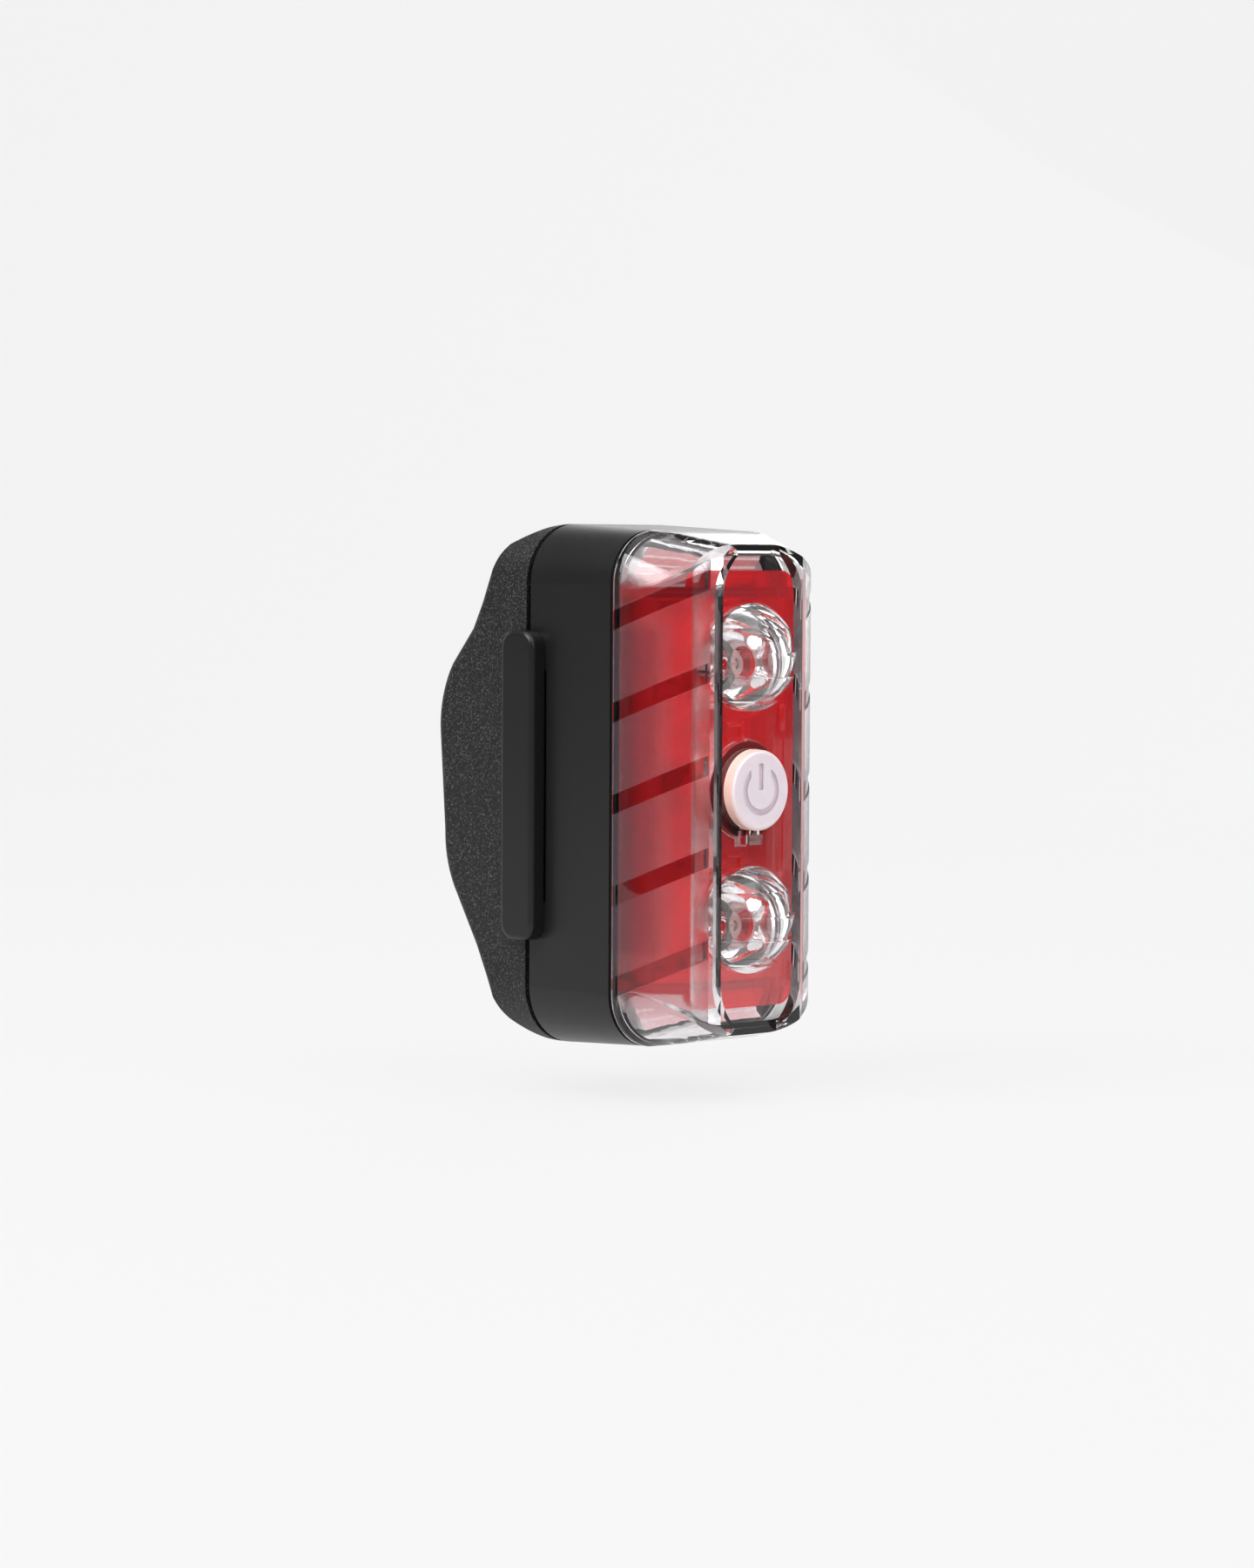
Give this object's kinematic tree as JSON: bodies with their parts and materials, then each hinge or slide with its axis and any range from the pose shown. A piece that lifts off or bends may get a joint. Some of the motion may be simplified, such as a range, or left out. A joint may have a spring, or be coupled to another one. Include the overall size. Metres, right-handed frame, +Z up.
{
  "type": "bike light",
  "caption": "Rear bike light: black shell with a seat-post saddle and strap hooks, clear winged lens with domes, red filter, power button and port door.",
  "frame": {"origin": "on the seat post's axis, half-way up the light", "axes": "+Z up along the post, -Y the way the light shines, +X to the right of someone who looks at the lens"},
  "size_m": [0.0308, 0.0426, 0.059],
  "materials": {
    "cover_plastic": "fine grained charcoal",
    "housing_plastic": "satin black",
    "pad_rubber": "matt ribbed",
    "gasket_rubber": "matt",
    "screw_steel": "dark zinc",
    "clear_lens": "clear polycarbonate, partly frosted",
    "board_laminate": "white solder mask",
    "white_tray": "bright white",
    "red_filter": "translucent red",
    "led_package": "ceramic and resin",
    "milky_silicone": "translucent, milky",
    "black_plastic": "satin",
    "cell_foil": "foil pouch",
    "foam": "closed-cell foam",
    "lead_copper": "insulated wire",
    "socket_steel": "plated"
  },
  "bodies": {
    "light": {"rear_cover": "cover_plastic", "saddle_pad": "pad_rubber", "hook_plate": "housing_plastic", "cover_screws": "screw_steel", "main_housing": "housing_plastic", "lens_gasket": "gasket_rubber", "outer_lens": "clear_lens", "circuit_board": "board_laminate", "board_screws": "screw_steel", "reflector_tray": "white_tray", "red_filter": "red_filter", "condenser_upper": "clear_lens", "condenser_lower": "clear_lens", "main_led_upper": "led_package", "main_led_lower": "led_package", "side_leds_left": "led_package", "side_leds_right": "led_package", "switch_case": "black_plastic", "indicator_pipe": "clear_lens", "indicator_led": "led_package", "lithium_cell": "cell_foil", "cell_foam": "foam", "cell_guard_board": "board_laminate", "cell_leads": "lead_copper", "charge_socket": "socket_steel", "socket_tongue": "black_plastic", "door_anchor": "gasket_rubber"},
    "button": {"power_button": "milky_silicone", "switch_stem": "black_plastic"},
    "door": {"port_door": "gasket_rubber"}
  },
  "joints": [
    {"name": "button_press", "type": "slide", "parent": "light", "child": "button", "axis": [0, 1, 0], "range_m": [0, 0.0006], "stiffness_N_per_m": 400, "springref_m": -0.0005},
    {"name": "door_hinge", "type": "hinge", "parent": "light", "child": "door", "pos_m": [0, -0.02415, -0.02845], "axis": [1, 0, 0], "range_deg": [0, 100]}
  ]
}
